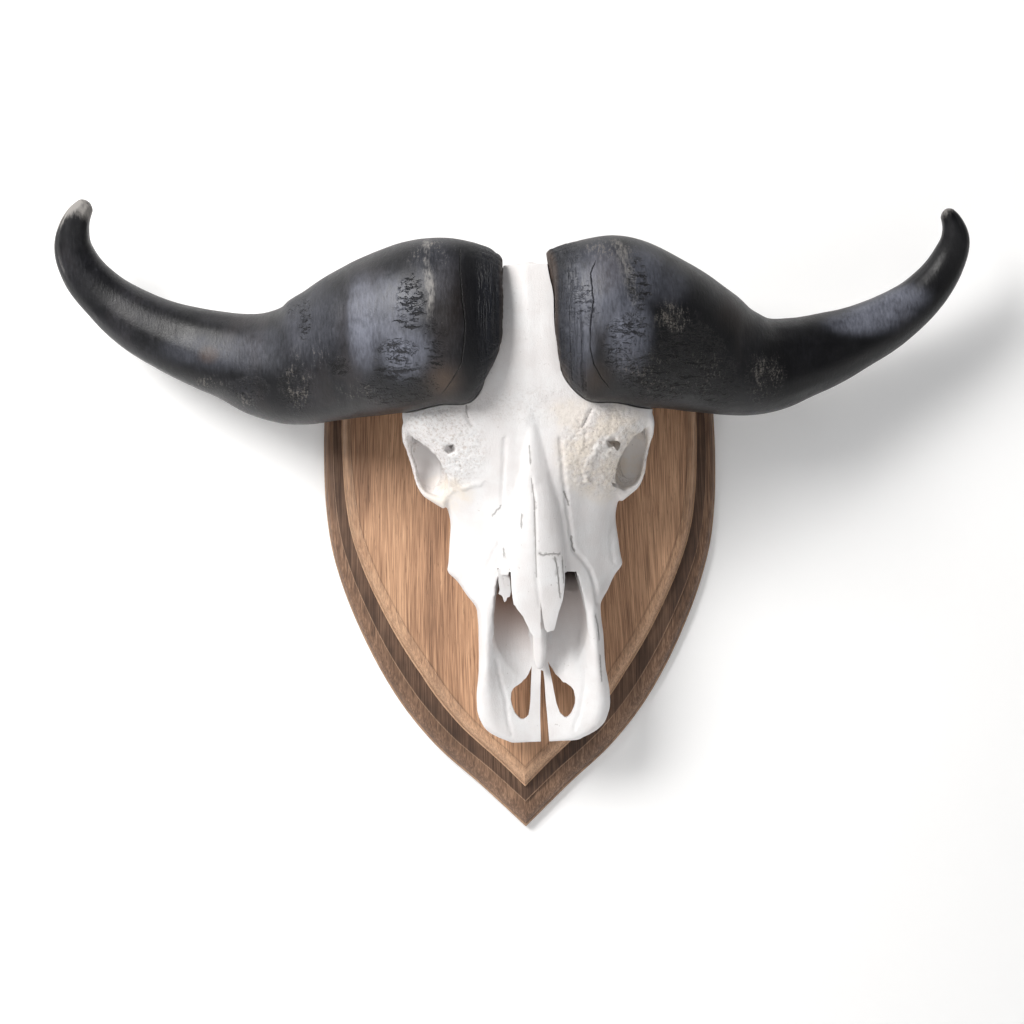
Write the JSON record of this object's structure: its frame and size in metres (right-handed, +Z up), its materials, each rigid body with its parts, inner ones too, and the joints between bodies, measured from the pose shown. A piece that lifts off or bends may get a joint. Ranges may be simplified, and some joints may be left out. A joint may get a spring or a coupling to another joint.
{
  "type": "mounted buffalo skull trophy",
  "caption": "Bleached cape buffalo skull with wide hooked horns and swollen bosses, fixed on a two-tier moulded wooden shield plaque that hangs flat on a wall.",
  "frame": {"origin": "on the flat back of the plaque, on its vertical centre line, close to its middle height: the point that meets the wall", "axes": "+Z up, +Y into the wall, +X to the right of a viewer who faces the skull"},
  "size_m": [0.9915, 0.2664, 0.7],
  "materials": {
    "bone": "matte",
    "horn": "satin",
    "base_wood": "satin",
    "panel_wood": "satin"
  },
  "bodies": {
    "root": {"skull": "bone", "horn_left": "horn", "horn_right": "horn", "plaque_base": "base_wood", "plaque_panel": "panel_wood"}
  },
  "joints": []
}
